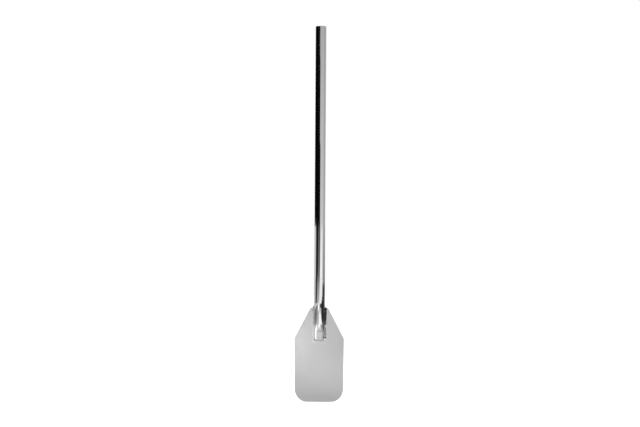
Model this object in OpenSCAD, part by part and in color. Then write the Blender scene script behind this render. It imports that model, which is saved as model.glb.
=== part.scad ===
// Stirring paddle: a flat stainless blade in the slotted, pressed end of a round tube handle.
// Millimetres. Z runs up the handle, the front of the paddle faces -Y, and left is -X.
// The origin is the middle of the blade's bottom edge, on the axis of the tube.

/* [Paddle] */
// Length from the blade's bottom edge to the top of the cap
overall_len = 914.4; // [500:0.1:1500]

/* [Blade] */
// Height of the blade, from its bottom edge to its top edge
blade_len = 229.5; // [200:0.5:320]
// Width across the shoulders
blade_w = 120; // [80:0.5:180]
// Width at the bottom edge, before its corners are rounded
blade_foot_w = 117; // [80:0.5:140]
// Width of the top edge, before its corners are rounded
blade_head_w = 42; // [41:0.5:60]
// Height of the shoulders above the bottom edge
shoulder_z = 155; // [70:0.5:195]
// Radius of the two bottom corners
foot_r = 32; // [4:0.5:50]
// Radius of the two shoulders
shoulder_r = 6; // [1:0.5:20]
// Radius of the two top corners
head_r = 3.5; // [1:0.5:4.5]
// Thickness of the plate
blade_t = 2.5; // [1.5:0.1:5]
// Width of the bevel that takes the sharpness off the blade's edges
edge_break = 0.4; // [0.1:0.05:0.7]

/* [Handle tube] */
// Outside diameter of the tube
tube_od = 26.7; // [22:0.1:28]
// Thickness of the tube's wall
tube_wall = 1.65; // [1.2:0.05:3]

/* [Pressed end] */
// How far the tube laps down over the blade
lap = 78; // [50:0.5:120]
// Length of the flat at the toe, where the tube lies on the blade
flat_len = 17; // [9:0.5:35]
// How far above the blade the tube begins to close
run_up = 14; // [5:0.5:40]
// Width of the toe
toe_w = 24.5; // [18:0.1:27]
// Radius of the toe's corners, seen from the front
toe_r = 4; // [2:0.1:8]
// How square the flattened section is, where 2 is an ellipse
toe_squareness = 5; // [3:0.5:8]
// Clearance between the blade and each wall of the slot
slot_gap = 0.1; // [0.05:0.05:0.3]

/* [End cap] */
// Rise of the dome over the width of the tube
cap_crown = 1; // [0.5:0.1:4]
// Radius where the dome turns down into the side
cap_edge_r = 2; // [1:0.1:4]
// Height of the plain side below that radius
cap_side = 3; // [2:0.1:10]
// Length of the spigot that locates the cap in the tube
spigot_len = 5; // [3:0.5:15]
// Clearance between the spigot and the bore of the tube
spigot_gap = 0.1; // [0.05:0.05:0.3]

/* [Welds] */
// Depth and half height of the flush ring weld under the cap
ring_weld = 1; // [0.5:0.1:1.1]
// Width on the blade of the left side runs
left_leg = 3.4; // [2:0.1:5]
// Width on the blade of the right side runs
right_leg = 4.8; // [2:0.1:5]
// Width on the blade of the toe runs
toe_leg = 2.8; // [1.5:0.1:5]
// How hollow the face of a run is, as a share of its width
weld_hollow = 0.1; // [0:0.01:0.15]
// Height of the left shoulder fillet on the side of the tube
left_rise = 8.5; // [4:0.1:12]
// Height of the right shoulder fillet on the side of the tube
right_rise = 5.5; // [4:0.1:12]

/* [Hidden] */

steel = "#c9cbcd";
polished = "#b4b7ba";
weld_metal = "#d8d9da";

tube_r = tube_od / 2;
bore_r = tube_r - tube_wall;

// Heights of the pressed end, from the toe up to where the tube is round again
toe_z = blade_len - lap;
flat_z = toe_z + flat_len;
round_z = blade_len + run_up;

// Half sizes and root of the slot, and half sizes of the flattened section at the toe
slot_half = blade_t / 2 + slot_gap;
toe_half_w = toe_w / 2;
toe_half_h = slot_half + slot_gap + tube_wall;
root_z = blade_len + slot_gap;

// The cap's dome is part of a sphere, and a smaller arc turns it down into the side
cap_foot_z = overall_len - cap_crown - cap_edge_r - cap_side;
dome_r = (tube_r * tube_r + cap_crown * cap_crown) / (2 * cap_crown);
dome_end = asin((tube_r - cap_edge_r) / (dome_r - cap_edge_r));
edge_z = overall_len - dome_r + (dome_r - cap_edge_r) * cos(dome_end);

// Fineness of the curves
round_fn = 96;
arc_steps = 24;
lap_steps = 9;
run_up_steps = 3;
corner_steps = 6;
mitre_step = 3;
face_steps = 4;
fillet_steps = 6;
dome_steps = 6;
arc_step = 7.5;

// The pressed end is this much slimmer than the round tube where they join
seam = 0.02;
// Clearance that keeps the flat facets of the welds out of those of the tube
weld_fit = 0.04;
// How far a run may climb the side of the tube, as a share of what stands off the blade
climb_share = 0.6;
// A shoulder fillet's feather edge, as shares of the thickness and the depth at its foot, and the
// power of the curve by which it thins out
feather = 0.03;
feather_depth = 0.4;
feather_power = 1.7;

function mix(a, b, share) = a + (b - a) * share;
function ease(share) = share * share * (3 - 2 * share);
function limited(share) = min(1, max(0, share));
function unit(v) = v / norm(v);
function power_of(value, power) = sign(value) * pow(abs(value), power);

// How far the tube is closed at a height: 0 where it is round, 1 where it lies flat
function closing(z) = ease(limited((round_z - z) / (round_z - flat_z)));

// What the rounded corners take off the half width near the toe
function corner_cut(z) =
    let (below = toe_r - min(toe_r, z - toe_z))
    toe_r - sqrt(toe_r * toe_r - below * below);

function half_w(z) = mix(tube_r - seam, toe_half_w, closing(z)) - corner_cut(z);
function half_h(z) = mix(tube_r - seam, toe_half_h, closing(z));
function squareness(z) = mix(2, toe_squareness, closing(z));

// The hollow keeps the tube's wall round it, and all but closes where the tube lies flat. Where
// the tube is round it is wider than the bore, so both faces of the joint lie inside the wall.
function wall(z) = mix(tube_wall - 3 * seam, tube_wall, closing(z));
function hollow_half_w(z) = half_w(z) - wall(z);
function hollow_half_h(z) = half_h(z) - wall(z);

// How far the side of the section leans in at a distance forward of the blade's mid plane
function lean(z, forward) =
    let (n = squareness(z), share = min(1, forward / half_h(z)))
    half_w(z) * (1 - pow(1 - pow(share, n), 1 / n));

// Heights of the pressed end's rings: close together in the toe's corners, then even up to the
// root of the slot, and on up to the round tube
heights = concat(
    [for (i = [0:corner_steps - 1]) toe_z + toe_r * (1 - cos(90 * i / corner_steps))],
    [toe_z + toe_r],
    [for (i = [0:lap_steps]) mix(flat_z, root_z, i / lap_steps)],
    [for (i = [1:run_up_steps]) mix(root_z, round_z, i / run_up_steps)]
);
root_ring = corner_steps + 1 + lap_steps;

// One ring of a section that goes from a circle to a rounded oblong: the front arc from left to
// right, then the back arc from right to left, with the slot's width between their ends
function ring_loop(w, h, n, z) =
    let (
        first = asin(pow(slot_half / h, n / 2)),
        arc = [
            for (i = [0:arc_steps])
                let (a = mix(180 - first, first, i / arc_steps))
                [w * power_of(cos(a), 2 / n), -h * power_of(sin(a), 2 / n), z]
        ]
    )
    concat(arc, [for (p = arc) [-p.x, -p.y, z]]);

function outer_loop(z) = ring_loop(half_w(z), half_h(z), squareness(z), z);
function hollow_loop(z) = ring_loop(hollow_half_w(z), hollow_half_h(z), squareness(z), z);

// Triangles in slices across a ring, from its first point to the one opposite
function slices(n) = [
    [0, 1, n - 1],
    for (i = [1:floor(n / 2) - 1])
        each concat([[i, i + 1, n - i]], i + 1 < n - i - 1 ? [[i + 1, n - i - 1, n - i]] : []),
];

// Solid through rings of points that run anticlockwise about the way the rings advance
module loft(rings) {
    n = len(rings[0]);
    last = len(rings) - 1;
    far_end = [for (face = slices(n)) [for (i = face) last * n + i]];
    ends = concat(slices(n), turned(far_end));
    sides = [for (k = [0:last - 1], i = [0:n - 1]) each wall_patch(k * n, i, (i + 1) % n, n)];
    polyhedron([for (ring = rings) each ring], concat(ends, sides), convexity = 6);
}

// Two triangles of a wall that faces out, between points i and j of a ring and of the next one
function wall_patch(start, i, j, next) =
    [[start + i, start + next + i, start + next + j], [start + i, start + next + j, start + j]];

function turned(faces) = [for (face = faces) [for (i = [len(face) - 1:-1:0]) face[i]]];

// Points of the arc that rounds one corner of an anticlockwise outline
function arc_at(before, corner, after, r) =
    let (
        to_before = unit(before - corner),
        to_after = unit(after - corner),
        half = acos(to_before * to_after) / 2,
        middle = corner + unit(to_before + to_after) * r / sin(half),
        start = corner + to_before * r / tan(half) - middle,
        turn = 180 - 2 * half,
        steps = ceil(turn / arc_step)
    )
    [for (i = [0:steps])
        let (a = turn * i / steps)
        middle + [start.x * cos(a) - start.y * sin(a), start.x * sin(a) + start.y * cos(a)]];

function rounded(corners, radii) =
    let (n = len(corners))
    [for (i = [0:n - 1])
        each arc_at(corners[(i + n - 1) % n], corners[i], corners[(i + 1) % n], radii[i])];

module blade_outline() {
    foot = blade_foot_w / 2;
    shoulder = blade_w / 2;
    head = blade_head_w / 2;
    polygon(rounded(
        [
            [-foot, 0], [foot, 0], [shoulder, shoulder_z],
            [head, blade_len], [-head, blade_len], [-shoulder, shoulder_z],
        ],
        [foot_r, foot_r, shoulder_r, head_r, head_r, shoulder_r]
    ));
}

// Stands an outline up in X and Z, with its thickness centred on the blade's mid plane
module upright(thickness) {
    rotate([90, 0, 0])
        linear_extrude(thickness, center = true)
            children();
}

// Flat plate with a small bevel all round both faces
module blade() {
    color(steel)
        hull() {
            upright(blade_t) offset(delta = -edge_break) blade_outline();
            upright(blade_t - 2 * edge_break) blade_outline();
        }
}

// The pressed end: a tube above the root of the slot, and two half shells below it
module pressed_end() {
    n = 2 * (arc_steps + 1);
    next = 2 * n;
    last = len(heights) - 1;
    gaps = [arc_steps, n - 1];
    function in_slot(k, i) = k < root_ring && (i == gaps[0] || i == gaps[1]);
    // Flat patch between the outer and the hollow loop of one ring, facing down
    function rim(k, i) =
        let (j = (i + 1) % n, at = k * next)
        [[at + i, at + j, at + n + j, at + n + i]];
    // Face of the slot between two rings, at the end of an arc that comes before the slot
    function slot_face(k, i) =
        let (at = k * next)
        [[at + i, at + next + i, at + next + n + i, at + n + i]];
    walls = [
        for (k = [0:last - 1], i = [0:n - 1])
            if (!in_slot(k, i))
                each concat(
                    wall_patch(k * next, i, (i + 1) % n, next),
                    turned(wall_patch(k * next + n, i, (i + 1) % n, next))
                )
    ];
    slot_faces = [
        for (k = [0:root_ring - 1], i = gaps)
            each concat(slot_face(k, i), turned(slot_face(k, (i + 1) % n)))
    ];
    toe = [for (i = [0:n - 1]) if (!in_slot(0, i)) each rim(0, i)];
    root = [for (i = gaps) each rim(root_ring, i)];
    top = turned([for (i = [0:n - 1]) each rim(last, i)]);
    polyhedron(
        [for (z = heights) each concat(outer_loop(z), hollow_loop(z))],
        concat(walls, slot_faces, toe, root, top),
        convexity = 8
    );
}

// Round tube, bevelled at its top for the ring weld, with its lower end pressed over the blade
module handle_tube() {
    color(polished) {
        rotate_extrude($fn = round_fn)
            polygon([
                [bore_r, round_z], [tube_r, round_z], [tube_r, cap_foot_z - ring_weld],
                [tube_r - ring_weld, cap_foot_z], [bore_r, cap_foot_z],
            ]);
        pressed_end();
    }
}

// Low dome with a rounded edge and a plain side, on a spigot that fits the tube's bore
module end_cap() {
    spigot_r = bore_r - spigot_gap;
    dome = [
        for (i = [0:dome_steps])
            let (a = dome_end * i / dome_steps)
            [dome_r * sin(a), overall_len - dome_r + dome_r * cos(a)]
    ];
    edge = [
        for (i = [1:dome_steps])
            let (a = mix(dome_end, 90, i / dome_steps))
            [tube_r - cap_edge_r + cap_edge_r * sin(a), edge_z + cap_edge_r * cos(a)]
    ];
    side_and_spigot = [
        [tube_r, cap_foot_z + ring_weld], [tube_r - ring_weld, cap_foot_z],
        [spigot_r, cap_foot_z], [spigot_r, cap_foot_z - spigot_len], [0, cap_foot_z - spigot_len],
    ];
    color(polished)
        rotate_extrude($fn = round_fn)
            polygon(concat(dome, edge, side_and_spigot));
}

// Ring of weld in the groove between cap and tube, ground flush with both
module end_cap_weld() {
    color(weld_metal)
        rotate_extrude($fn = round_fn)
            polygon([
                [tube_r, cap_foot_z - ring_weld], [tube_r, cap_foot_z + ring_weld],
                [tube_r - ring_weld, cap_foot_z],
            ]);
}

// How high a run of a given width climbs on the side of the tube
function climb(z, leg) = min(leg, climb_share * (half_h(z) - blade_t / 2));

// Points of a run's face from the tube down to the blade, slightly hollow. Each is a distance out
// from the side of the tube at the blade, and a distance off the face of the blade.
function run_face(z, leg, upright_lean) =
    let (rise = climb(z, leg), top = weld_fit - upright_lean * lean(z, blade_t / 2 + rise))
    [for (i = [0:face_steps])
        let (s = i / face_steps, sag = 4 * weld_hollow * leg * s * (1 - s))
        [mix(top, leg, s) - sag, mix(rise, 0, s) - sag / 2]];

// Points of a run's inner side, up along the tube from the blade to just below the face
function run_inside(z, leg, upright_lean) = [
    for (i = [0:face_steps - 1])
        let (off = climb(z, leg) * i / face_steps)
        [weld_fit - upright_lean * lean(z, blade_t / 2 + off), off]
];

// Section of a run on the front of the blade: it stands at a point of the pressed end's outline,
// faces out from it, and takes the lean of the tube's side at a height
function run_section(at, out, z, leg) = [
    for (p = concat(run_face(z, leg, abs(out.x)), run_inside(z, leg, abs(out.x))))
        [at.x + out.x * p.x, -blade_t / 2 - p.y, at.y + out.y * p.x]
];

// Sections down the left side of the pressed end
function side_sections(leg) = [
    for (i = [lap_steps:-1:0])
        let (z = mix(flat_z, blade_len, i / lap_steps))
        run_section([-half_w(z), z], [-1, 0], z, leg)
];

// Sections about a corner of the toe, -1 for the left and 1 for the right, from step to step
function corner_sections(side, leg, from, to) = [
    for (i = [from:sign(to - from):to])
        let (
            a = 90 * i / corner_steps,
            out = [side * cos(a), -sin(a)],
            middle = [side * (toe_half_w - toe_r), toe_z + toe_r]
        )
        run_section(middle + toe_r * out, out, flat_z, mix(leg, toe_leg, ease(a / 90)))
];

// Left side run on the front, from the blade's top edge down to the mitre in the toe's corner
module side_run(leg) {
    loft(concat(side_sections(leg), corner_sections(-1, leg, 0, mitre_step)));
}

// The run across the toe on the front, from mitre to mitre
module toe_run() {
    loft(concat(
        corner_sections(-1, left_leg, mitre_step, corner_steps),
        corner_sections(1, right_leg, corner_steps, mitre_step)
    ));
}

// Left fillet on the blade's top edge: it joins the front and back runs and thins out up the tube
module shoulder_fillet(leg, rise) {
    foot = blade_t / 2;
    // Distance off the mid plane, and thickness outside the tube, where it stands on the blade
    base = [
        for (p = run_face(blade_len, leg, 1))
            [foot + p.y, p.x - weld_fit + lean(blade_len, foot + p.y)]
    ];
    last = len(base) - 1;
    loft([
        for (k = [0:fillet_steps])
            let (
                s = k / fillet_steps,
                z = blade_len + rise * s,
                depth = mix(1, feather_depth, s),
                thin = mix(feather, 1, pow(1 - s, feather_power)),
                inner = [for (p = base) [lean(z, depth * p[0]) - half_w(z) - weld_fit, depth * p[0]]],
                outer = [for (i = [0:last]) [inner[i].x - thin * base[i][1], inner[i].y]]
            )
            concat(
                [for (p = outer) [p.x, p.y, z]],
                [for (i = [last:-1:0]) [outer[i].x, -outer[i].y, z]],
                [for (i = [1:last]) [inner[i].x, -inner[i].y, z]],
                [for (i = [last:-1:1]) [inner[i].x, inner[i].y, z]]
            )
    ]);
}

module weld_front_left() { color(weld_metal) side_run(left_leg); }
module weld_front_right() { color(weld_metal) mirror([1, 0, 0]) side_run(right_leg); }
module weld_front_toe() { color(weld_metal) toe_run(); }
module weld_back_left() { color(weld_metal) mirror([0, 1, 0]) side_run(left_leg); }
module weld_back_right() { color(weld_metal) mirror([0, 1, 0]) mirror([1, 0, 0]) side_run(right_leg); }
module weld_back_toe() { color(weld_metal) mirror([0, 1, 0]) toe_run(); }
module weld_shoulder_left() { color(weld_metal) shoulder_fillet(left_leg, left_rise); }
module weld_shoulder_right() {
    color(weld_metal) mirror([1, 0, 0]) shoulder_fillet(right_leg, right_rise);
}

blade();
handle_tube();
end_cap();
end_cap_weld();
weld_front_left();
weld_front_right();
weld_front_toe();
weld_back_left();
weld_back_right();
weld_back_toe();
weld_shoulder_left();
weld_shoulder_right();
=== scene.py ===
import math

import bmesh
import bpy
from mathutils import Matrix, Vector, noise


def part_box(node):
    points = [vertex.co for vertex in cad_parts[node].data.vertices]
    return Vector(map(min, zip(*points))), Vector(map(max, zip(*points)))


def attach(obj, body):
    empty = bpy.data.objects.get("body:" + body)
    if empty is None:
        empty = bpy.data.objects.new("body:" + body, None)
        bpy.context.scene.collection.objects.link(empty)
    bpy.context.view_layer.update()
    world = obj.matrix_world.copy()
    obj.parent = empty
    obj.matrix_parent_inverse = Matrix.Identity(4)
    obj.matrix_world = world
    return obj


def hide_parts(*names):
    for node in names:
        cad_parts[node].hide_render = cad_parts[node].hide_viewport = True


bl_info = {
    "name": "Stirring paddle",
    "version": (1, 0, 0),
    "blender": (4, 5, 0),
    "location": "3D View > Sidebar > Paddle",
    "description": "Models, finishes and lights a welded stainless stirring paddle",
    "category": "Object",
}

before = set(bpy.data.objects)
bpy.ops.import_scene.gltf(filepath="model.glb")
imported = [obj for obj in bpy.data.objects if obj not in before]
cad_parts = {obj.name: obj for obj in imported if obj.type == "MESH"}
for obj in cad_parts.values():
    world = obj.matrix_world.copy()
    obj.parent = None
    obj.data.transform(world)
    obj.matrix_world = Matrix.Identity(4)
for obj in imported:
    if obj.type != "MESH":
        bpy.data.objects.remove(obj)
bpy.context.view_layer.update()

MM = 0.001

# The solids' own places, which every piece starts from
BLADE_LOW, BLADE_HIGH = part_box("blade")
TUBE_LOW, TUBE_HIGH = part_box("handle_tube")
CAP_LOW, CAP_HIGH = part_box("end_cap")
RING_LOW, RING_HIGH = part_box("end_cap_weld")
TOE_WELD_LOW, TOE_WELD_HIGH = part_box("weld_front_toe")

# Where the paddle stands in the photograph, in its pixels
PHOTO_WIDTH = 640
PHOTO_HEIGHT = 427
PHOTO_MIDDLE_X = 319.95
PHOTO_TOP_Y = 26.0
PHOTO_FOOT_Y = 402.1


# Small sums

def mix(a, b, share):
    return a + (b - a) * share


def ease(share):
    return share * share * (3 - 2 * share)


def limited(share):
    return min(1.0, max(0.0, share))


def power_of(value, power):
    return math.copysign(abs(value) ** power, value)


def linear(hex_colour):
    """Turns an sRGB hex colour into linear red, green and blue."""
    channels = [int(hex_colour[i:i + 2], 16) / 255 for i in (1, 3, 5)]
    return tuple(c / 12.92 if c <= 0.04045 else ((c + 0.055) / 1.055) ** 2.4 for c in channels)


# Sizes and colours that a user may change

class PaddleBladeSizes(bpy.types.PropertyGroup):
    """The flat blade"""
    width: bpy.props.FloatProperty(
        name="Width", description="Width across the shoulders", default=0.12, unit="LENGTH")
    foot_width: bpy.props.FloatProperty(
        name="Foot width", description="Width at the bottom edge, before its corners are rounded",
        default=0.117, unit="LENGTH")
    head_width: bpy.props.FloatProperty(
        name="Head width", description="Width of the top edge, before its corners are rounded",
        default=0.042, unit="LENGTH")
    shoulder_height: bpy.props.FloatProperty(
        name="Shoulder height", description="Height of the shoulders above the bottom edge",
        default=0.155, unit="LENGTH")
    foot_radius: bpy.props.FloatProperty(
        name="Foot radius", description="Radius of the two bottom corners",
        default=0.032, unit="LENGTH")
    shoulder_radius: bpy.props.FloatProperty(
        name="Shoulder radius", description="Radius of the two shoulders",
        default=0.006, unit="LENGTH")
    head_radius: bpy.props.FloatProperty(
        name="Head radius", description="Radius of the two top corners",
        default=0.0035, unit="LENGTH")
    edge_break: bpy.props.FloatProperty(
        name="Edge break", description="Width of the rounding that takes the sharpness off",
        default=0.0004, unit="LENGTH")


class PaddleHandleSizes(bpy.types.PropertyGroup):
    """The tube with its pressed end, and the cap"""
    diameter: bpy.props.FloatProperty(
        name="Diameter", description="Outside diameter of the tube", default=0.0267, unit="LENGTH")
    wall: bpy.props.FloatProperty(
        name="Wall", description="Thickness of the tube's wall", default=0.00165, unit="LENGTH")
    flat_length: bpy.props.FloatProperty(
        name="Flat length", description="Length of the flat at the toe",
        default=0.017, unit="LENGTH")
    run_up: bpy.props.FloatProperty(
        name="Run up", description="How far above the blade the tube begins to close",
        default=0.014, unit="LENGTH")
    toe_width: bpy.props.FloatProperty(
        name="Toe width", description="Width of the toe", default=0.0245, unit="LENGTH")
    toe_radius: bpy.props.FloatProperty(
        name="Toe radius", description="Radius of the toe's corners, seen from the front",
        default=0.004, unit="LENGTH")
    toe_squareness: bpy.props.FloatProperty(
        name="Toe squareness", description="How square the flattened section is; 2 is an ellipse",
        default=5.0)
    slot_gap: bpy.props.FloatProperty(
        name="Slot gap", description="Clearance between the blade and each wall of the slot",
        default=0.0001, unit="LENGTH")
    cap_crown: bpy.props.FloatProperty(
        name="Cap crown", description="Rise of the cap's dome", default=0.001, unit="LENGTH")
    cap_edge_radius: bpy.props.FloatProperty(
        name="Cap edge radius", description="Radius where the dome turns down into the side",
        default=0.002, unit="LENGTH")
    spigot_gap: bpy.props.FloatProperty(
        name="Spigot gap", description="Clearance between the cap's spigot and the bore",
        default=0.0001, unit="LENGTH")


class PaddleWeldSizes(bpy.types.PropertyGroup):
    """The weld round the pressed end"""
    left_leg: bpy.props.FloatProperty(
        name="Left width", description="Width on the blade of the left side runs",
        default=0.0034, unit="LENGTH")
    right_leg: bpy.props.FloatProperty(
        name="Right width", description="Width on the blade of the right side runs",
        default=0.0048, unit="LENGTH")
    toe_leg: bpy.props.FloatProperty(
        name="Toe width", description="Width on the blade of the toe runs",
        default=0.0028, unit="LENGTH")
    left_hollow: bpy.props.FloatProperty(
        name="Left hollow", description="How hollow the left and toe runs are, as a share of their width",
        default=0.1, subtype="FACTOR")
    right_hollow: bpy.props.FloatProperty(
        name="Right hollow", description="The same for the right runs; below 0 their faces bulge",
        default=-0.03, subtype="FACTOR")
    left_rise: bpy.props.FloatProperty(
        name="Left rise", description="Height of the left shoulder fillet on the tube",
        default=0.0085, unit="LENGTH")
    right_rise: bpy.props.FloatProperty(
        name="Right rise", description="Height of the right shoulder fillet on the tube",
        default=0.0055, unit="LENGTH")
    unevenness: bpy.props.FloatProperty(
        name="Unevenness", description="How far a run's width wanders, as a share of it",
        default=0.07, subtype="FACTOR")


class PaddleFinish(bpy.types.PropertyGroup):
    """Colours of the steel"""
    tube_colour: bpy.props.FloatVectorProperty(
        name="Tube", description="Colour of the polished tube and cap",
        subtype="COLOR", size=3, min=0, max=1, default=linear("#C9C9C9"))
    sheet_colour: bpy.props.FloatVectorProperty(
        name="Sheet", description="Colour of the mill finish on the blade",
        subtype="COLOR", size=3, min=0, max=1, default=linear("#C4C4C4"))
    weld_colour: bpy.props.FloatVectorProperty(
        name="Weld", description="Colour of the dressed weld metal",
        subtype="COLOR", size=3, min=0, max=1, default=linear("#C6C6C6"))


class PaddleStudio(bpy.types.PropertyGroup):
    """Camera, floor and lamps"""
    camera_distance: bpy.props.FloatProperty(
        name="Camera distance", description="From the camera to the paddle's middle plane",
        default=3.5, unit="LENGTH")
    lean: bpy.props.FloatProperty(
        name="Lean", description="How far the paddle leans to the right in the picture",
        default=math.radians(0.35), subtype="ANGLE")
    floor_size: bpy.props.FloatProperty(
        name="Floor size", description="Side of the square floor", default=9.0, unit="LENGTH")
    card_radius: bpy.props.FloatProperty(
        name="Card radius", description="From the paddle to the cards that its steel mirrors",
        default=1.3, unit="LENGTH")


# Meshes

# Steps round and along the pieces
ROUND_STEPS = 128
ARC_STEPS = 48
SIDE_STEPS = 4
TOE_CORNER_STEPS = 12
FLAT_STEPS = 4
LAP_STEPS = 48
RUN_UP_STEPS = 10
TUBE_STEPS = 12
CORNER_STEPS = 16
EDGE_STEPS = 3
DOME_STEPS = 12
RUN_STEPS = 60
FACE_STEPS = 10
FILLET_STEPS = 16
# A shoulder fillet ends at this share of its thickness and depth, and thins by this power
FEATHER = 0.03
FEATHER_DEPTH = 0.4
FEATHER_POWER = 1.7
# A run of weld climbs at most this share of the pressed end's height
CLIMB_SHARE = 0.9
# The section stays oval down most of the slope, and turns square only near the flat
SQUARING_POWER = 12
# Length of the wander in a run's width
WANDER_LENGTH = 9 * MM
# How deep a run of weld bites into the steel that it joins
BITE = 0.12 * MM
SHARP_ANGLE = math.radians(32)
MERGE_DISTANCE = 0.002 * MM
# Only the blade's two flat faces are larger than this
BROAD_FACE = 1000 * MM ** 2


def loop_edges(bm, row):
    """The edges between the neighbours of a closed loop of vertices."""
    return [bm.edges.get(pair) for pair in zip(row, row[1:] + row[:1])]


def verts_of(made):
    """The vertices among what an operator made."""
    return {part for part in made["geom"] if isinstance(part, bmesh.types.BMVert)}


def sweep(bm, rings):
    """Extrudes a closed loop of edges from ring to ring, and returns the rows of vertices."""
    row = bmesh.ops.create_circle(bm, segments=len(rings[0]), radius=1)["verts"]
    rows = []
    for step, ring in enumerate(rings):
        if step:
            made = verts_of(bmesh.ops.extrude_edge_only(bm, edges=loop_edges(bm, row)))
            row = [next(e.other_vert(v) for e in v.link_edges if e.other_vert(v) in made) for v in row]
        for vert, point in zip(row, ring):
            vert.co = point
        rows.append(row)
    return rows


def close_end(bm, row):
    """Fills a closed loop of vertices with one face."""
    bmesh.ops.contextual_create(bm, geom=loop_edges(bm, row))


def finish_piece(bm, name, material, slot, *nodes):
    """Makes an object of a mesh, with smooth curves and crisp edges, that stands for CAD nodes."""
    bmesh.ops.remove_doubles(bm, verts=bm.verts[:], dist=MERGE_DISTANCE)
    bmesh.ops.recalc_face_normals(bm, faces=bm.faces[:])
    for face in bm.faces:
        face.smooth = True
    for edge in bm.edges:
        edge.smooth = edge.calc_face_angle(0) < SHARP_ANGLE
    mesh = bpy.data.meshes.new(name)
    bm.to_mesh(mesh)
    bm.free()
    mesh.materials.append(material)
    piece = bpy.data.objects.new(name, mesh)
    bpy.context.scene.collection.objects.link(piece)
    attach(piece, "root")
    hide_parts(*nodes)
    return piece


class PressedEnd:
    """Shape of the handle's lower end: a round tube that closes to a flat, rounded oblong."""

    def __init__(self, handle):
        self.radius = handle.diameter / 2
        self.toe_z = TUBE_LOW.z
        self.flat_z = self.toe_z + handle.flat_length
        self.root_z = BLADE_HIGH.z + handle.slot_gap
        self.round_z = BLADE_HIGH.z + handle.run_up
        self.blade_half = BLADE_HIGH.y
        self.slot_half = self.blade_half + handle.slot_gap
        self.toe_half_w = handle.toe_width / 2
        self.toe_half_h = self.slot_half + handle.slot_gap + handle.wall
        self.toe_r = handle.toe_radius
        self.toe_squareness = handle.toe_squareness

    def closing(self, z):
        """0 where the tube is round, 1 where it lies flat."""
        return ease(limited((self.round_z - z) / (self.round_z - self.flat_z)))

    def half_w(self, z):
        below = self.toe_r - min(self.toe_r, z - self.toe_z)
        corner_cut = self.toe_r - math.sqrt(self.toe_r ** 2 - below ** 2)
        return mix(self.radius, self.toe_half_w, self.closing(z)) - corner_cut

    def half_h(self, z):
        return mix(self.radius, self.toe_half_h, self.closing(z))

    def squareness(self, z):
        return mix(2, self.toe_squareness, self.closing(z) ** SQUARING_POWER)

    def lean(self, z, forward):
        """How far the section's side leans in at a distance forward of the blade's mid plane."""
        n = self.squareness(z)
        share = min(1.0, forward / self.half_h(z))
        return self.half_w(z) * (1 - (1 - share ** n) ** (1 / n))

    def ring(self, z, wall=0.0):
        """One ring: front from left to right, right side, back, and left side past the slot."""
        w = self.half_w(z) - wall
        h = self.half_h(z) - wall
        n = self.squareness(z)
        first = math.asin((self.slot_half / h) ** (n / 2))
        turns = [(math.pi - first, first, ARC_STEPS), (first, -first, SIDE_STEPS),
                 (-first, first - math.pi, ARC_STEPS), (first - math.pi, -first - math.pi, SIDE_STEPS)]
        angles = [mix(start, end, i / steps) for start, end, steps in turns for i in range(steps)]
        return [Vector((w * power_of(math.cos(a), 2 / n), -h * power_of(math.sin(a), 2 / n), z))
                for a in angles]

    def heights(self):
        """Heights of the rings from the toe up to where the tube is round."""
        corner = [self.toe_z + self.toe_r * (1 - math.cos(math.pi / 2 * i / TOE_CORNER_STEPS))
                  for i in range(TOE_CORNER_STEPS)]
        flat = [mix(self.toe_z + self.toe_r, self.flat_z, i / FLAT_STEPS) for i in range(FLAT_STEPS)]
        lap = [mix(self.flat_z, self.root_z, i / LAP_STEPS) for i in range(LAP_STEPS)]
        run_up = [mix(self.root_z, self.round_z, i / RUN_UP_STEPS) for i in range(RUN_UP_STEPS)]
        return corner + flat + lap + run_up


def handle_mesh(handle):
    """The whole tube: an outer skin and the bore's skin, open at the slot, joined round every edge."""
    end = PressedEnd(handle)
    ring_depth = (RING_HIGH.z - RING_LOW.z) / 2
    rim_z = (RING_HIGH.z + RING_LOW.z) / 2
    heights = end.heights()
    heights += [mix(end.round_z, rim_z - ring_depth, i / TUBE_STEPS) for i in range(TUBE_STEPS + 1)]
    outer = [end.ring(z) for z in heights]
    bore = [end.ring(z, handle.wall) for z in heights]
    bevel = Matrix.Diagonal((1 - ring_depth / end.radius, 1 - ring_depth / end.radius, 1))
    outer.append([bevel @ point + Vector((0, 0, ring_depth)) for point in outer[-1]])
    bore.append([point + Vector((0, 0, ring_depth)) for point in bore[-1]])

    bm = bmesh.new()
    rows = sweep(bm, outer)
    inside = {v: point for row, ring in zip(rows, bore) for v, point in zip(row, ring)}
    slot_faces = []
    for low, high in zip(rows, rows[1:]):
        if low[0].co.z < end.root_z - MERGE_DISTANCE:
            for start in (ARC_STEPS, 2 * ARC_STEPS + SIDE_STEPS):
                for i in range(start, start + SIDE_STEPS):
                    j = (i + 1) % len(low)
                    slot_faces += [f for f in low[i].link_faces
                                   if low[j] in f.verts and high[i] in f.verts]
    bmesh.ops.delete(bm, geom=list(set(slot_faces)), context="FACES")
    inside = {v: point for v, point in inside.items() if v.is_valid}
    rims = [e for e in bm.edges if e.is_boundary]
    copied = bmesh.ops.duplicate(bm, geom=bm.verts[:] + bm.edges[:] + bm.faces[:])
    for vert, point in inside.items():
        copied["vert_map"][vert].co = point
    rim_verts = {v for e in rims for v in e.verts}
    fresh = verts_of(bmesh.ops.extrude_edge_only(bm, edges=rims))
    for vert in rim_verts:
        twin = next(e.other_vert(vert) for e in vert.link_edges if e.other_vert(vert) in fresh)
        twin.co = inside[vert]
    return bm


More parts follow.
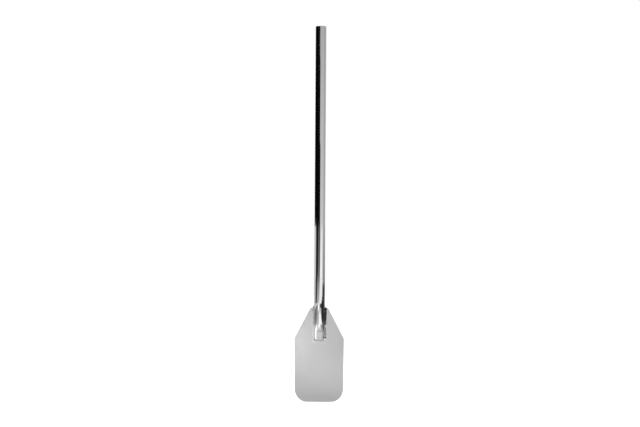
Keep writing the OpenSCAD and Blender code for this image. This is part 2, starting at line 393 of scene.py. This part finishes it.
class WeldRuns:
    """Sections of the weld round the pressed end. across is -1 for the left and 1 for the right, and
    flip is 1 for the front face and -1 for the back."""

    def __init__(self, end, welds):
        self.end = end
        self.welds = welds

    def uneven(self, leg, at):
        """The width of a run at a place: it wanders as a hand weld does."""
        return leg * (1 + self.welds.unevenness * noise.noise(at / WANDER_LENGTH))

    def hollow(self, across):
        return self.welds.right_hollow if across > 0 else self.welds.left_hollow

    def section(self, at, out, z, leg, hollow, flip):
        """Section that stands at a point of the pressed end's outline and faces out from it."""
        end = self.end
        foot = end.blade_half
        leg = self.uneven(leg, Vector((at.x, flip, at.y)))
        rise = min(leg, CLIMB_SHARE * (end.half_h(z) - foot))
        upright = abs(out.x)
        top = -BITE - upright * end.lean(z, foot + rise)
        points = []
        for i in range(FACE_STEPS + 1):
            s = i / FACE_STEPS
            sag = 4 * hollow * leg * s * (1 - s)
            points.append((mix(top, leg, s) - sag, mix(rise, 0, s) - sag / 2))
        points.append((leg, -BITE))
        for i in range(FACE_STEPS):
            off = mix(-BITE, rise, i / FACE_STEPS)
            points.append((-BITE - upright * end.lean(z, foot + max(0, off)), off))
        return [Vector((at.x + out.x * p, -flip * (foot + off), at.y + out.y * p)) for p, off in points]

    def side_rings(self, leg, across, flip):
        """Sections down one side, and round the toe's corner to the mitre."""
        end = self.end
        heights = [mix(BLADE_HIGH.z, end.flat_z, i / RUN_STEPS) for i in range(RUN_STEPS)]
        rings = [self.section(Vector((across * end.half_w(z), z)), Vector((across, 0)), z, leg,
                              self.hollow(across), flip) for z in heights]
        return rings + self.corner_rings(leg, across, flip, 0, math.pi / 4)

    def toe_rings(self, flip):
        """Sections across the toe, from mitre to mitre."""
        welds = self.welds
        left = self.corner_rings(welds.left_leg, -1, flip, math.pi / 4, math.pi / 2)
        right = self.corner_rings(welds.right_leg, 1, flip, math.pi / 4, math.pi / 2)
        return left + right[::-1]

    def corner_rings(self, leg, across, flip, start, finish):
        end = self.end
        middle = Vector((across * (end.toe_half_w - end.toe_r), end.toe_z + end.toe_r))
        rings = []
        for i in range(TOE_CORNER_STEPS + 1):
            a = mix(start, finish, i / TOE_CORNER_STEPS)
            out = Vector((across * math.cos(a), -math.sin(a)))
            share = ease(a / (math.pi / 2))
            width = mix(leg, self.welds.toe_leg, share)
            hollow = mix(self.hollow(across), self.welds.left_hollow, share)
            rings.append(self.section(middle + end.toe_r * out, out, end.flat_z, width, hollow, flip))
        return rings

    def shoulder_rings(self, leg, rise, across):
        """Sections up the tube's side from the blade's top edge, thinning to a feather."""
        end = self.end
        foot = end.blade_half
        z = BLADE_HIGH.z
        climb = min(leg, CLIMB_SHARE * (end.half_h(z) - foot))
        top = -end.lean(z, foot + climb)
        base = []
        for i in range(FACE_STEPS + 1):
            s = i / FACE_STEPS
            sag = 4 * self.hollow(across) * leg * s * (1 - s)
            off = mix(climb, 0, s) - sag / 2
            base.append((foot + off, mix(top, leg, s) - sag + end.lean(z, foot + off)))
        rings = []
        for k in range(FILLET_STEPS + 1):
            s = k / FILLET_STEPS
            z = BLADE_HIGH.z + rise * s
            depth = mix(1, FEATHER_DEPTH, s)
            thin = mix(FEATHER, 1, (1 - s) ** FEATHER_POWER)
            inner = [(end.half_w(z) - end.lean(z, depth * off) - BITE, depth * off) for off, _ in base]
            outer = [(x + BITE + thin * thick, off) for (x, off), (_, thick) in zip(inner, base)]
            loop = [(x, off) for x, off in outer] + [(x, -off) for x, off in outer[::-1]]
            loop += [(x, -off) for x, off in inner] + [(x, off) for x, off in inner[::-1]]
            rings.append([Vector((across * x, -off, z)) for x, off in loop])
        return rings


def solid_run(rings):
    """A closed solid through a run's sections."""
    bm = bmesh.new()
    rows = sweep(bm, rings)
    close_end(bm, rows[0])
    close_end(bm, rows[-1])
    return bm


def turned(profile):
    """Spins a profile of radius and height round the handle's axis."""
    bm = bmesh.new()
    verts = [bm.verts.new((radius, 0, z)) for radius, z in profile]
    edges = [bm.edges.new(pair) for pair in zip(verts, verts[1:])]
    bmesh.ops.spin(bm, geom=verts + edges, cent=(0, 0, 0), axis=(0, 0, 1), angle=2 * math.pi,
                   steps=ROUND_STEPS, use_merge=True)
    return bm


# Materials

# How far the bright band by the weld reaches, and how much smoother it is
HALO_WIDTH = 4.5 * MM
HALO_SHARPENING = 0.16
SHEET_ROUGHNESS = 0.33
MADE_MATERIALS = {}


def add_node(tree, kind, settings=None, inputs=None):
    """Adds a node, makes its settings, and sets or links its inputs."""
    made = tree.nodes.new(kind)
    for name, value in (settings or {}).items():
        setattr(made, name, value)
    for name, value in (inputs or {}).items():
        if isinstance(value, bpy.types.NodeSocket):
            tree.links.new(value, made.inputs[name])
        else:
            made.inputs[name].default_value = value
    return made


def steel_shader(name, colour):
    """Starts a bare metal material, and returns it with its nodes, its shader and its place."""
    material = bpy.data.materials.new(name)
    material.use_nodes = True
    tree = material.node_tree
    shader = tree.nodes["Principled BSDF"]
    shader.inputs["Base Color"].default_value = (*colour, 1)
    shader.inputs["Metallic"].default_value = 1
    place = add_node(tree, "ShaderNodeTexCoord").outputs["Object"]
    return material, tree, shader, place


def stretched_noise(tree, place, width, length, detail=2):
    """Noise of a real width in millimetres across the handle and a real length along it."""
    scale = (1 / (width * MM), 1 / (width * MM), 1 / (length * MM))
    mapping = add_node(tree, "ShaderNodeMapping", inputs={"Vector": place, "Scale": scale})
    return add_node(tree, "ShaderNodeTexNoise", inputs={
        "Vector": mapping.outputs["Vector"], "Scale": 1, "Detail": detail}).outputs["Fac"]


def ranged(tree, value, low, high, from_low=0.3, from_high=0.7):
    """Spreads the middle of a noise over a range."""
    return add_node(tree, "ShaderNodeMapRange", inputs={
        "Value": value, "From Min": from_low, "From Max": from_high,
        "To Min": low, "To Max": high}).outputs["Result"]


def calculate(tree, operation, *values):
    """One sum or comparison of sockets and numbers."""
    made = add_node(tree, "ShaderNodeMath", {"operation": operation})
    for socket, value in zip(made.inputs, values):
        if isinstance(value, bpy.types.NodeSocket):
            tree.links.new(value, socket)
        else:
            socket.default_value = value
    return made.outputs["Value"]


def buffed_tube_steel(colour):
    """304 stainless tube, belt polished and buffed: a near mirror, faintly drawn out along its length."""
    material, tree, shader, place = steel_shader("buffed_304_stainless_tube", colour)
    # Buffing lines are some 0.05 mm wide, and are drawn 0.8 mm wide so that they show
    lines = ranged(tree, stretched_noise(tree, place, 0.8, 45), 0.045, 0.085)
    # Handling leaves dull patches about 30 mm long
    smears = ranged(tree, stretched_noise(tree, place, 12, 30, 3), 0, 0.03)
    tree.links.new(calculate(tree, "ADD", lines, smears), shader.inputs["Roughness"])
    # Drawing and polishing leave slow waves in the wall, which bend what the steel mirrors
    waves = stretched_noise(tree, place, 18, 110, 1)
    bump = add_node(tree, "ShaderNodeBump", inputs={
        "Height": waves, "Strength": 1, "Distance": 0.06 * MM})
    tree.links.new(bump.outputs["Normal"], shader.inputs["Normal"])
    return material


def mill_finish_sheet(colour):
    """Cold rolled 304 sheet with a 2B mill finish: silky and faintly clouded, bright beside the weld."""
    material, tree, shader, place = steel_shader("cold_rolled_304_sheet_2b", colour)
    # The welder's flap wheel leaves a bright band round the pressed end, some 5 mm wide
    where = add_node(tree, "ShaderNodeSeparateXYZ", inputs={"Vector": place})
    side = calculate(tree, "SUBTRACT", calculate(tree, "ABSOLUTE", where.outputs["X"]), TOE_WELD_HIGH.x)
    below = calculate(tree, "SUBTRACT", TOE_WELD_LOW.z, where.outputs["Z"])
    wander = ranged(tree, stretched_noise(tree, place, 5, 5, 3), -1.5 * MM, 1.5 * MM)
    gap = calculate(tree, "ADD", calculate(tree, "MAXIMUM", side, below), wander)
    halo = add_node(tree, "ShaderNodeMapRange", {"interpolation_type": "SMOOTHSTEP"}, {
        "Value": gap, "From Min": 0, "From Max": HALO_WIDTH, "To Min": 1, "To Max": 0}).outputs["Result"]
    # The rolled face is clouded in soft patches 15 mm across and finer ones of 3 mm
    clouds = ranged(tree, stretched_noise(tree, place, 15, 22, 3), -0.03, 0.03)
    flecks = ranged(tree, stretched_noise(tree, place, 2.5, 3.5, 3), -0.025, 0.025)
    dull = calculate(tree, "ADD", calculate(tree, "ADD", clouds, flecks), SHEET_ROUGHNESS)
    roughness = calculate(tree, "SUBTRACT", dull, calculate(tree, "MULTIPLY", halo, HALO_SHARPENING))
    tree.links.new(roughness, shader.inputs["Roughness"])
    # The grain of a 2B face is some 0.03 mm, and is drawn 0.7 mm wide so that it shows
    grain = stretched_noise(tree, place, 0.7, 0.9, 2)
    rough = add_node(tree, "ShaderNodeBump", inputs={
        "Height": grain, "Strength": 1, "Distance": 0.01 * MM})
    # Flattening leaves the sheet in very shallow waves, some 50 mm long
    waves = add_node(tree, "ShaderNodeBump", inputs={
        "Height": stretched_noise(tree, place, 40, 55, 1), "Strength": 1, "Distance": 0.5 * MM,
        "Normal": rough.outputs["Normal"]})
    tree.links.new(waves.outputs["Normal"], shader.inputs["Normal"])
    return material


def dressed_weld_steel(colour):
    """308 weld metal dressed with a flap wheel: bright, with fine scratches and soft dips."""
    material, tree, shader, place = steel_shader("dressed_308_weld_metal", colour)
    # Scratches of a 120 grit wheel are some 0.1 mm wide, and are drawn 0.5 mm wide so that they show
    scratches = stretched_noise(tree, place, 0.5, 6, 2)
    tree.links.new(ranged(tree, scratches, 0.12, 0.2), shader.inputs["Roughness"])
    marks = add_node(tree, "ShaderNodeBump", inputs={
        "Height": scratches, "Strength": 1, "Distance": 0.012 * MM})
    # The ripples of the bead still show through, some 4 mm apart
    dips = add_node(tree, "ShaderNodeBump", inputs={
        "Height": stretched_noise(tree, place, 4, 5, 1), "Strength": 1, "Distance": 0.12 * MM,
        "Normal": marks.outputs["Normal"]})
    tree.links.new(dips.outputs["Normal"], shader.inputs["Normal"])
    return material


def shared_material(make, *values):
    """Makes a material on first use, and gives the same one afterwards."""
    key = make.__name__
    if key not in MADE_MATERIALS:
        MADE_MATERIALS[key] = make(*values)
    return MADE_MATERIALS[key]


# Pieces

class PADDLE_OT_blade(bpy.types.Operator):
    """Models the flat blade with its rounded corners and softened edges"""
    bl_idname = "paddle.blade"
    bl_label = "Blade"

    def execute(self, context):
        sizes = context.scene.paddle_blade
        foot, shoulder, head = sizes.foot_width / 2, sizes.width / 2, sizes.head_width / 2
        corners = [
            (-foot, 0, sizes.foot_radius), (foot, 0, sizes.foot_radius),
            (shoulder, sizes.shoulder_height, sizes.shoulder_radius),
            (head, BLADE_HIGH.z, sizes.head_radius), (-head, BLADE_HIGH.z, sizes.head_radius),
            (-shoulder, sizes.shoulder_height, sizes.shoulder_radius),
        ]
        bm = bmesh.new()
        verts = [bm.verts.new((x, BLADE_LOW.y, z)) for x, z, _ in corners]
        bm.faces.new(verts)
        for i, vert in enumerate(verts):
            before = corners[i - 1]
            here = corners[i]
            after = corners[(i + 1) % len(corners)]
            to_before = Vector((before[0] - here[0], before[1] - here[1]))
            to_after = Vector((after[0] - here[0], after[1] - here[1]))
            reach = here[2] / math.tan(to_before.angle(to_after) / 2)
            bmesh.ops.bevel(bm, geom=[vert], offset=reach, offset_type="OFFSET", segments=CORNER_STEPS,
                            profile=0.5, affect="VERTICES", material=-1)
        front = bm.faces[:]
        back = verts_of(bmesh.ops.extrude_face_region(bm, geom=front, use_keep_orig=True))
        bmesh.ops.translate(bm, verts=list(back), vec=(0, BLADE_HIGH.y - BLADE_LOW.y, 0))
        rims = [e for e in bm.edges if len({round(v.co.y, 6) for v in e.verts}) == 1]
        bmesh.ops.bevel(bm, geom=rims, offset=sizes.edge_break, offset_type="OFFSET",
                        segments=EDGE_STEPS, profile=0.5, affect="EDGES", material=-1)
        # A narrow border keeps the rounded edge's shading off the flat faces
        broad = [f for f in bm.faces if f.calc_area() > BROAD_FACE]
        bmesh.ops.inset_individual(bm, faces=broad, thickness=sizes.edge_break, use_even_offset=True)
        steel = shared_material(mill_finish_sheet, context.scene.paddle_finish.sheet_colour)
        finish_piece(bm, "flat_blade", steel, "blade_steel", "blade")
        return {"FINISHED"}


class PADDLE_OT_handle(bpy.types.Operator):
    """Models the tube, slotted and pressed flat over the blade at its lower end"""
    bl_idname = "paddle.handle"
    bl_label = "Handle tube"

    def execute(self, context):
        steel = shared_material(buffed_tube_steel, context.scene.paddle_finish.tube_colour)
        finish_piece(handle_mesh(context.scene.paddle_handle), "round_handle", steel,
                     "polished_steel", "handle_tube")
        return {"FINISHED"}


class PADDLE_OT_cap(bpy.types.Operator):
    """Turns the low domed cap, and the ring of weld that is ground flush below it"""
    bl_idname = "paddle.cap"
    bl_label = "End cap"

    def execute(self, context):
        handle = context.scene.paddle_handle
        steel = shared_material(buffed_tube_steel, context.scene.paddle_finish.tube_colour)
        radius = handle.diameter / 2
        edge = handle.cap_edge_radius
        groove_z = (RING_HIGH.z + RING_LOW.z) / 2
        depth = RING_HIGH.z - groove_z
        spigot = radius - handle.wall - handle.spigot_gap
        dome = (radius ** 2 + handle.cap_crown ** 2) / (2 * handle.cap_crown)
        dome_end = math.asin((radius - edge) / (dome - edge))
        edge_z = CAP_HIGH.z - dome + (dome - edge) * math.cos(dome_end)
        profile = [(dome * math.sin(dome_end * i / DOME_STEPS),
                    CAP_HIGH.z - dome * (1 - math.cos(dome_end * i / DOME_STEPS)))
                   for i in range(DOME_STEPS)]
        turns = [mix(dome_end, math.pi / 2, i / DOME_STEPS) for i in range(DOME_STEPS + 1)]
        profile += [(radius - edge + edge * math.sin(a), edge_z + edge * math.cos(a)) for a in turns]
        profile += [(radius, RING_HIGH.z), (radius - depth, groove_z), (spigot, groove_z),
                    (spigot, CAP_LOW.z), (0, CAP_LOW.z)]
        finish_piece(turned(profile), "domed_cap", steel, "polished_steel", "end_cap")
        ring = [(radius, RING_LOW.z), (radius, RING_HIGH.z), (radius - depth, groove_z),
                (radius, RING_LOW.z)]
        finish_piece(turned(ring), "cap_seal_weld", steel, "polished_steel", "end_cap_weld")
        return {"FINISHED"}


class PADDLE_OT_side_welds(bpy.types.Operator):
    """Lays the runs of weld down both sides of the pressed end and across its toe, front and back"""
    bl_idname = "paddle.side_welds"
    bl_label = "Side and toe welds"

    def execute(self, context):
        welds = context.scene.paddle_welds
        runs = WeldRuns(PressedEnd(context.scene.paddle_handle), welds)
        steel = shared_material(dressed_weld_steel, context.scene.paddle_finish.weld_colour)
        for face, flip in (("front", 1), ("back", -1)):
            for side, across, leg in (("left", -1, welds.left_leg), ("right", 1, welds.right_leg)):
                rings = runs.side_rings(leg, across, flip)
                finish_piece(solid_run(rings), f"{face}_{side}_bead", steel, "weld_metal",
                             f"weld_{face}_{side}")
            finish_piece(solid_run(runs.toe_rings(flip)), f"{face}_toe_bead", steel, "weld_metal",
                         f"weld_{face}_toe")
        return {"FINISHED"}


class PADDLE_OT_shoulder_welds(bpy.types.Operator):
    """Fills the corners between the blade's top edge and the tube"""
    bl_idname = "paddle.shoulder_welds"
    bl_label = "Shoulder welds"

    def execute(self, context):
        welds = context.scene.paddle_welds
        runs = WeldRuns(PressedEnd(context.scene.paddle_handle), welds)
        steel = shared_material(dressed_weld_steel, context.scene.paddle_finish.weld_colour)
        for side, across, leg, rise in (("left", -1, welds.left_leg, welds.left_rise),
                                        ("right", 1, welds.right_leg, welds.right_rise)):
            finish_piece(solid_run(runs.shoulder_rings(leg, rise, across)), f"{side}_shoulder_bead",
                         steel, "weld_metal", f"weld_shoulder_{side}")
        return {"FINISHED"}


# Floor, camera and lamps

# How much the floor is whitened where the camera sees it, and where the steel mirrors it
FLOOR_GLOW = 0.6
MIRRORED_FLOOR_GLOW = 0.2
WORLD_LIGHT = 0.8
FLOOR_ROUGHNESS = 0.9
# Degrees between a card's facets, and how far apart the cards hang
CARD_STEP = 5
CARD_SPACING = 10 * MM
# Cards that the steel mirrors, from the far ones to the near ones. Bearings are in degrees from the
# camera, and grow to its right. Each has its two bearings, foot and head, and its glow at these.
CARDS = (
    ("far_left_white", -180, -84, 0.0, 0.42, 0.85, 0.9),
    ("low_left_pale", -84, -18, 0.0, 0.13, 0.85, 1.0),
    ("low_left_white", -18, -3, 0.0, 0.13, 1.3, 1.8),
    ("low_front_white", -3, 40, 0.0, 0.13, 0.8, 1.2),
    ("low_right_black", 16, 95, 0.0, 0.07, 0.03, 0.02),
    ("raised_right_black", 40, 95, 0.07, 0.13, 0.02, 0.02),
    ("low_right_dark", 95, 150, 0.0, 0.25, 0.08, 0.15),
    ("middle_left_grey", -62, -14, 0.13, 0.25, 0.75, 0.25),
    ("middle_left_black", -92, -57, 0.13, 0.25, 0.02, 0.02),
    ("middle_front_white", -14, 10, 0.13, 0.25, 1.5, 0.5),
    ("middle_right_white", 10, 62, 0.13, 0.25, 1.5, 1.4),
    ("middle_right_black", 62, 95, 0.13, 0.23, 0.02, 0.02),
    ("corner_right_black", 43, 62, 0.13, 0.178, 0.02, 0.02),
    ("high_left_black", -84, -36, 0.25, 0.42, 0.01, 0.01),
    ("high_left_grey", -36, 11, 0.25, 0.42, 0.25, 0.14),
    ("high_right_white", 11, 44, 0.25, 0.42, 1.6, 1.2),
    ("high_right_pale", 44, 68, 0.24, 0.42, 1.2, 1.2),
    ("high_right_grey", 68, 150, 0.24, 0.42, 0.4, 0.6),
    ("top_left_black", -143, -14, 0.42, 2.4, 0.003, 0.003),
    ("top_front_grey", -14, 72, 0.42, 1.3, 0.92, 0.56),
    ("top_right_grey", 72, 130, 0.42, 1.3, 0.62, 0.58),
    ("roof_grey", -14, 130, 1.3, 2.4, 0.5, 0.5),
    ("top_edge_black", -14, -7, 0.42, 0.95, 0.003, 0.003),
    ("lower_edge_black", -7, 3, 0.42, 0.68, 0.003, 0.003),
)
# Cards that hang close in front of the blade, so that its upper left is the brightest
NEAR_CARDS = (
    ("near_left_white", -20, -5, 0.09, 0.17, 2.1, 2.1),
    ("near_right_grey", 4, 20, 0.06, 0.14, 0.55, 0.55),
)
NEAR_CARD_RADIUS = 350 * MM
# Cards that lie on the floor about the paddle. Each has its two bearings, near and far edge, and glow.
FLOOR_CARDS = (
    ("near_floor_grey", -90, 90, 0.002, 0.13, 0.62),
    ("floor_left_dark", -150, -60, 0.13, 1.3, 0.22),
    ("floor_left_grey", -60, -30, 0.13, 1.3, 0.42),
    ("floor_left_pale", -30, -5, 0.13, 0.55, 0.75),
    ("front_floor_grey", -5, 40, 0.13, 0.3, 0.75),
    ("floor_front_white", -5, 28, 0.3, 0.55, 1.6),
    ("floor_right_grey", 28, 40, 0.3, 0.55, 0.25),
    ("floor_right_black", 40, 110, 0.13, 1.3, 0.04),
    ("middle_floor_pale", -30, -8, 0.55, 0.75, 1.1),
    ("middle_floor_white", -8, 30, 0.55, 0.75, 1.05),
    ("middle_floor_grey", 30, 40, 0.55, 0.75, 0.4),
    ("far_floor_left_white", -30, -2, 0.75, 1.3, 1.35),
    ("far_floor_front_grey", -2, 14, 0.75, 1.3, 0.7),
    ("far_floor_black", 14, 40, 0.75, 1.3, 0.05),
)
FLOOR_CARD_Z = 2 * MM
# Each lamp's place, aim, size and power
LAMPS = (
    ("key_soft_box", (-1.2, -1.9, 1.9), (0, 0, 0.4), 1.0, 35),
    ("fill_soft_box", (1.6, -1.4, 1.4), (0, 0, 0.4), 1.2, 12),
)


def backdrop_rays(tree):
    """1 for the rays that should see a white studio: from the camera, from gloss and through glass."""
    rays = add_node(tree, "ShaderNodeLightPath")
    seen = calculate(tree, "MAXIMUM", rays.outputs["Is Camera Ray"], rays.outputs["Is Glossy Ray"])
    return calculate(tree, "MAXIMUM", seen, rays.outputs["Is Transmission Ray"])


def white_floor(size):
    """A pale painted floor that keeps the paddle's shadow."""
    bm = bmesh.new()
    bmesh.ops.create_grid(bm, x_segments=1, y_segments=1, size=size / 2)
    mesh = bpy.data.meshes.new("studio_floor")
    bm.to_mesh(mesh)
    bm.free()
    material = bpy.data.materials.new("matt_white_paint")
    material.use_nodes = True
    tree = material.node_tree
    shader = tree.nodes["Principled BSDF"]
    shader.inputs["Base Color"].default_value = (*linear("#E8E8E8"), 1)
    shader.inputs["Roughness"].default_value = FLOOR_ROUGHNESS
    shader.inputs["Specular IOR Level"].default_value = 0
    shader.inputs["Emission Color"].default_value = (1, 1, 1, 1)
    seen = add_node(tree, "ShaderNodeLightPath").outputs["Is Camera Ray"]
    glow = calculate(tree, "MAXIMUM", calculate(tree, "MULTIPLY", seen, FLOOR_GLOW),
                     calculate(tree, "MULTIPLY", backdrop_rays(tree), MIRRORED_FLOOR_GLOW))
    tree.links.new(glow, shader.inputs["Emission Strength"])
    mesh.materials.append(material)
    floor = bpy.data.objects.new("studio_floor", mesh)
    bpy.context.scene.collection.objects.link(floor)


def pale_world():
    """White where the camera and the steel see it, and a plain level as light."""
    world = bpy.data.worlds.new("pale_studio")
    world.use_nodes = True
    tree = world.node_tree
    background = tree.nodes["Background"]
    background.inputs["Color"].default_value = (1, 1, 1, 1)
    seen = backdrop_rays(tree)
    strength = add_node(tree, "ShaderNodeMapRange", inputs={
        "Value": seen, "To Min": WORLD_LIGHT, "To Max": 1}).outputs["Result"]
    tree.links.new(strength, background.inputs["Strength"])
    bpy.context.scene.world = world


def studio_card(name, start, end, foot, head, foot_glow, head_glow, foot_radius, head_radius):
    """A curved card that only gloss sees, from one bearing to another, glowing evenly from foot to head."""
    bm = bmesh.new()
    low, high = (bm.verts.new((0, -radius, z)) for radius, z in ((foot_radius, foot), (head_radius, head)))
    edge = bm.edges.new((low, high))
    turn = Matrix.Rotation(math.radians(start), 3, "Z")
    bmesh.ops.rotate(bm, verts=bm.verts[:], cent=(0, 0, 0), matrix=turn)
    steps = max(1, round(abs(end - start) / CARD_STEP))
    bmesh.ops.spin(bm, geom=[low, high, edge], cent=(0, 0, 0), axis=(0, 0, 1),
                   angle=math.radians(end - start), steps=steps, use_merge=False)
    mesh = bpy.data.meshes.new(name)
    bm.to_mesh(mesh)
    bm.free()
    material = bpy.data.materials.new(f"{name}_card")
    material.use_nodes = True
    tree = material.node_tree
    tree.nodes.remove(tree.nodes["Principled BSDF"])
    place = add_node(tree, "ShaderNodeTexCoord").outputs["Object"]
    height = add_node(tree, "ShaderNodeSeparateXYZ", inputs={"Vector": place}).outputs["Z"]
    glow = ranged(tree, height, foot_glow, head_glow, foot, head)
    light = add_node(tree, "ShaderNodeEmission", inputs={"Strength": glow})
    tree.links.new(light.outputs["Emission"], tree.nodes["Material Output"].inputs["Surface"])
    mesh.materials.append(material)
    card = bpy.data.objects.new(name, mesh)
    bpy.context.scene.collection.objects.link(card)
    card.visible_camera = False
    card.visible_diffuse = False
    card.visible_transmission = False
    card.visible_shadow = False


def soft_lamp(name, place, aim, size, power):
    """A square soft box that points at a place."""
    lamp = bpy.data.lights.new(name, "AREA")
    lamp.shape = "SQUARE"
    lamp.size = size
    lamp.energy = power
    made = bpy.data.objects.new(name, lamp)
    made.location = place
    made.rotation_euler = (Vector(aim) - Vector(place)).to_track_quat("-Z", "Y").to_euler()
    bpy.context.scene.collection.objects.link(made)


class PADDLE_OT_stage(bpy.types.Operator):
    """Lays the pale floor, hangs the lamps and cards, and sets the camera"""
    bl_idname = "paddle.stage"
    bl_label = "Studio"

    def execute(self, context):
        studio = context.scene.paddle_studio
        scene = context.scene
        scene.view_settings.view_transform = "Standard"
        white_floor(studio.floor_size)
        pale_world()
        for order, card in enumerate(CARDS):
            radius = studio.card_radius - order * CARD_SPACING
            studio_card(*card, radius, radius)
        for card in NEAR_CARDS:
            studio_card(*card, NEAR_CARD_RADIUS, NEAR_CARD_RADIUS)
        for name, start, end, near, far, glow in FLOOR_CARDS:
            studio_card(name, start, end, FLOOR_CARD_Z, 2 * FLOOR_CARD_Z, glow, glow, near, far)
        for lamp in LAMPS:
            soft_lamp(*lamp)

        per_pixel = (CAP_HIGH.z - BLADE_LOW.z) / (PHOTO_FOOT_Y - PHOTO_TOP_Y)
        photo_middle_y = (PHOTO_FOOT_Y + PHOTO_TOP_Y) / 2
        data = bpy.data.cameras.new("camera")
        data.lens = data.sensor_width * studio.camera_distance / (PHOTO_WIDTH * per_pixel)
        camera = bpy.data.objects.new("camera", data)
        camera.location = ((PHOTO_WIDTH / 2 - PHOTO_MIDDLE_X) * per_pixel, -studio.camera_distance,
                           (CAP_HIGH.z + BLADE_LOW.z) / 2 + (photo_middle_y - PHOTO_HEIGHT / 2) * per_pixel)
        level = Matrix.Rotation(math.pi / 2, 3, "X")
        camera.rotation_euler = (Matrix.Rotation(-studio.lean, 3, "Y") @ level).to_euler()
        scene.collection.objects.link(camera)
        scene.camera = camera
        return {"FINISHED"}


class PADDLE_PT_panel(bpy.types.Panel):
    """Lists the steps that build the paddle"""
    bl_idname = "PADDLE_PT_panel"
    bl_label = "Stirring paddle"
    bl_space_type = "VIEW_3D"
    bl_region_type = "UI"
    bl_category = "Paddle"

    def draw(self, context):
        layout = self.layout
        for group in PROPERTY_GROUPS:
            box = layout.box()
            box.label(text=group.replace("paddle_", "").capitalize())
            settings = getattr(context.scene, group)
            for name in settings.bl_rna.properties.keys():
                if name not in ("name", "rna_type"):
                    box.prop(settings, name)
        for step in STEPS:
            layout.operator(step.bl_idname)


# In the order in which they run
STEPS = (PADDLE_OT_stage, PADDLE_OT_blade, PADDLE_OT_handle, PADDLE_OT_cap, PADDLE_OT_side_welds,
         PADDLE_OT_shoulder_welds)
PROPERTY_GROUPS = {
    "paddle_blade": PaddleBladeSizes,
    "paddle_handle": PaddleHandleSizes,
    "paddle_welds": PaddleWeldSizes,
    "paddle_finish": PaddleFinish,
    "paddle_studio": PaddleStudio,
}
CLASSES = (*PROPERTY_GROUPS.values(), *STEPS, PADDLE_PT_panel)


def register():
    for made in CLASSES:
        bpy.utils.register_class(made)
    for name, group in PROPERTY_GROUPS.items():
        setattr(bpy.types.Scene, name, bpy.props.PointerProperty(type=group))


def unregister():
    for name in PROPERTY_GROUPS:
        delattr(bpy.types.Scene, name)
    for made in reversed(CLASSES):
        bpy.utils.unregister_class(made)


def main():
    register()
    bpy.ops.paddle.stage()
    bpy.ops.paddle.blade()
    bpy.ops.paddle.handle()
    bpy.ops.paddle.cap()
    bpy.ops.paddle.side_welds()
    bpy.ops.paddle.shoulder_welds()


if __name__ == "__main__":
    main()
